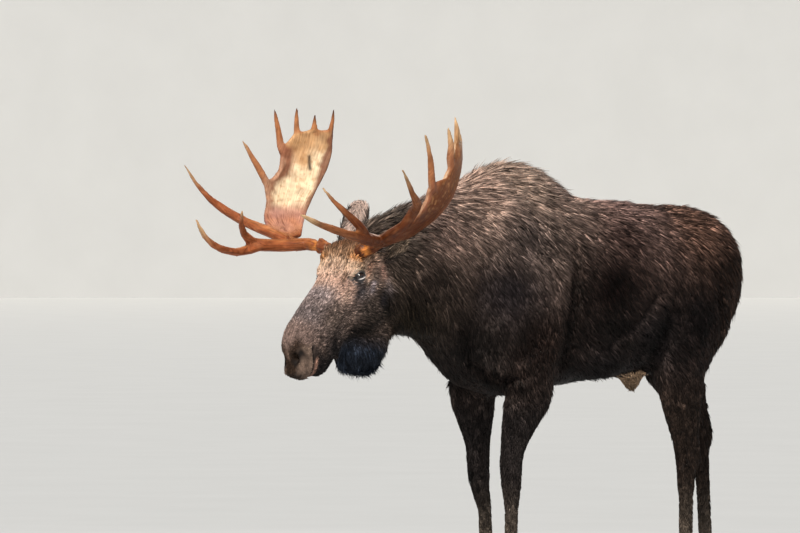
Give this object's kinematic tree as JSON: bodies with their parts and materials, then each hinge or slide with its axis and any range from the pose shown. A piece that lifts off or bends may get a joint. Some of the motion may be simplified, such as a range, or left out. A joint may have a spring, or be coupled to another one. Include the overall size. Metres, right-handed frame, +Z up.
{
  "type": "standing bull moose, still life-size model",
  "caption": "life-size still model of a standing bull moose with broad palmate antlers, a throat bell and a shoulder hump",
  "frame": {"origin": "on the floor, under the middle of the whole animal's bounding box", "axes": "+Z up; the head is towards -X and the animal's left side is -Y"},
  "size_m": [2.6278, 1.23, 2.1058],
  "materials": {
    "antler": "worn bone, orange-brown with cream palms",
    "hoof": "dark horn, low sheen",
    "eye": "wet dark brown eye",
    "ear_coat": "short fur on skin",
    "face_coat": "short grey-brown fur on skin",
    "leg_coat": "short dark fur on skin",
    "body_coat": "long blackish-brown fur on skin"
  },
  "bodies": {
    "root": {"antler_left_beam": "antler", "antler_left_brow": "antler", "antler_left_front_tine": "antler", "antler_left_palm": "antler", "antler_right_beam": "antler", "antler_right_brow": "antler", "antler_right_front_tine": "antler", "antler_right_palm": "antler", "bell": "body_coat", "dewclaw_fore_left_inner": "hoof", "dewclaw_fore_left_outer": "hoof", "dewclaw_fore_right_inner": "hoof", "dewclaw_fore_right_outer": "hoof", "dewclaw_hind_left_inner": "hoof", "dewclaw_hind_left_outer": "hoof", "dewclaw_hind_right_inner": "hoof", "dewclaw_hind_right_outer": "hoof", "ear_left": "ear_coat", "ear_right": "ear_coat", "eye_left": "eye", "eye_right": "eye", "head": "face_coat", "leg_fore_left": "leg_coat", "leg_fore_right": "leg_coat", "leg_hind_left": "leg_coat", "leg_hind_right": "leg_coat", "neck": "body_coat", "tail": "body_coat", "toe_fore_left_inner": "hoof", "toe_fore_left_outer": "hoof", "toe_fore_right_inner": "hoof", "toe_fore_right_outer": "hoof", "toe_hind_left_inner": "hoof", "toe_hind_left_outer": "hoof", "toe_hind_right_inner": "hoof", "toe_hind_right_outer": "hoof", "trunk": "body_coat"}
  },
  "joints": []
}
